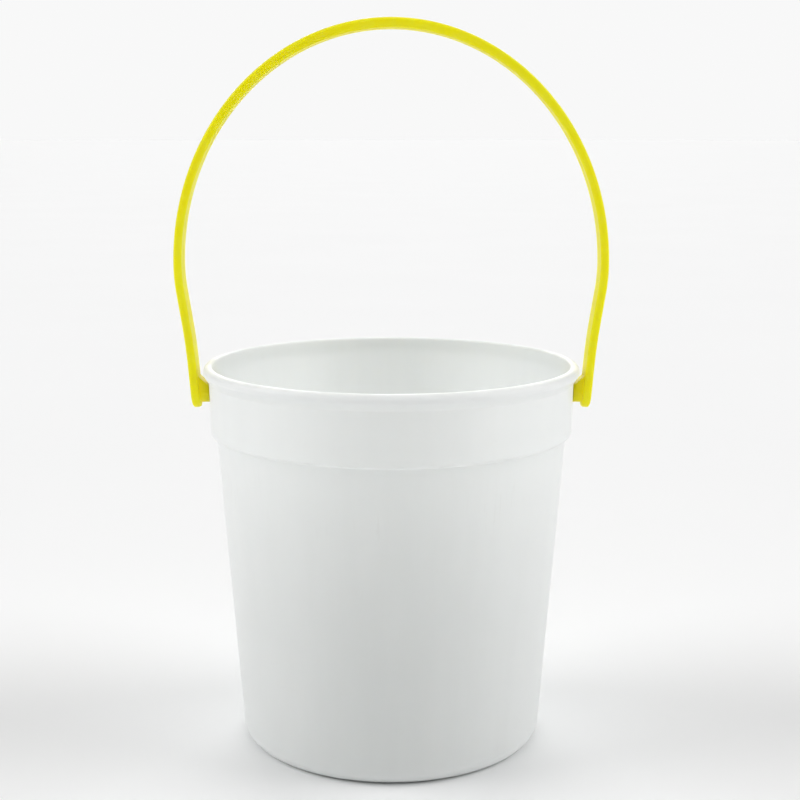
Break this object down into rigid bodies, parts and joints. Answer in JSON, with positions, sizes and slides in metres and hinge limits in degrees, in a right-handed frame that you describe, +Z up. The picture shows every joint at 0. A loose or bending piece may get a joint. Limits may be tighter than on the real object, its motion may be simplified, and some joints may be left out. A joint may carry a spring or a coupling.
{
  "type": "sand bucket",
  "caption": "Small round tapered beach pail with a beaded rim, a stepped collar band and a swinging strap bail handle.",
  "frame": {"origin": "centre of the base, on the surface where the pail stands", "axes": "+Z up through the open mouth, X along the line that the handle turns about, Y across it"},
  "size_m": [0.1742, 0.1524, 0.2926],
  "materials": {
    "white_plastic": "smooth moulded polypropylene, semi-gloss, slightly cool white",
    "yellow_plastic": "smooth moulded polypropylene, semi-gloss, bright lemon yellow"
  },
  "bodies": {
    "pail": {"pail_body": "white_plastic"},
    "handle": {"bail_handle": "yellow_plastic"}
  },
  "joints": [
    {"name": "handle_swing", "type": "hinge", "parent": "pail", "child": "handle", "pos_m": [0, 0, 0.14375], "axis": [1, 0, 0], "range_deg": [-150, 150]}
  ]
}
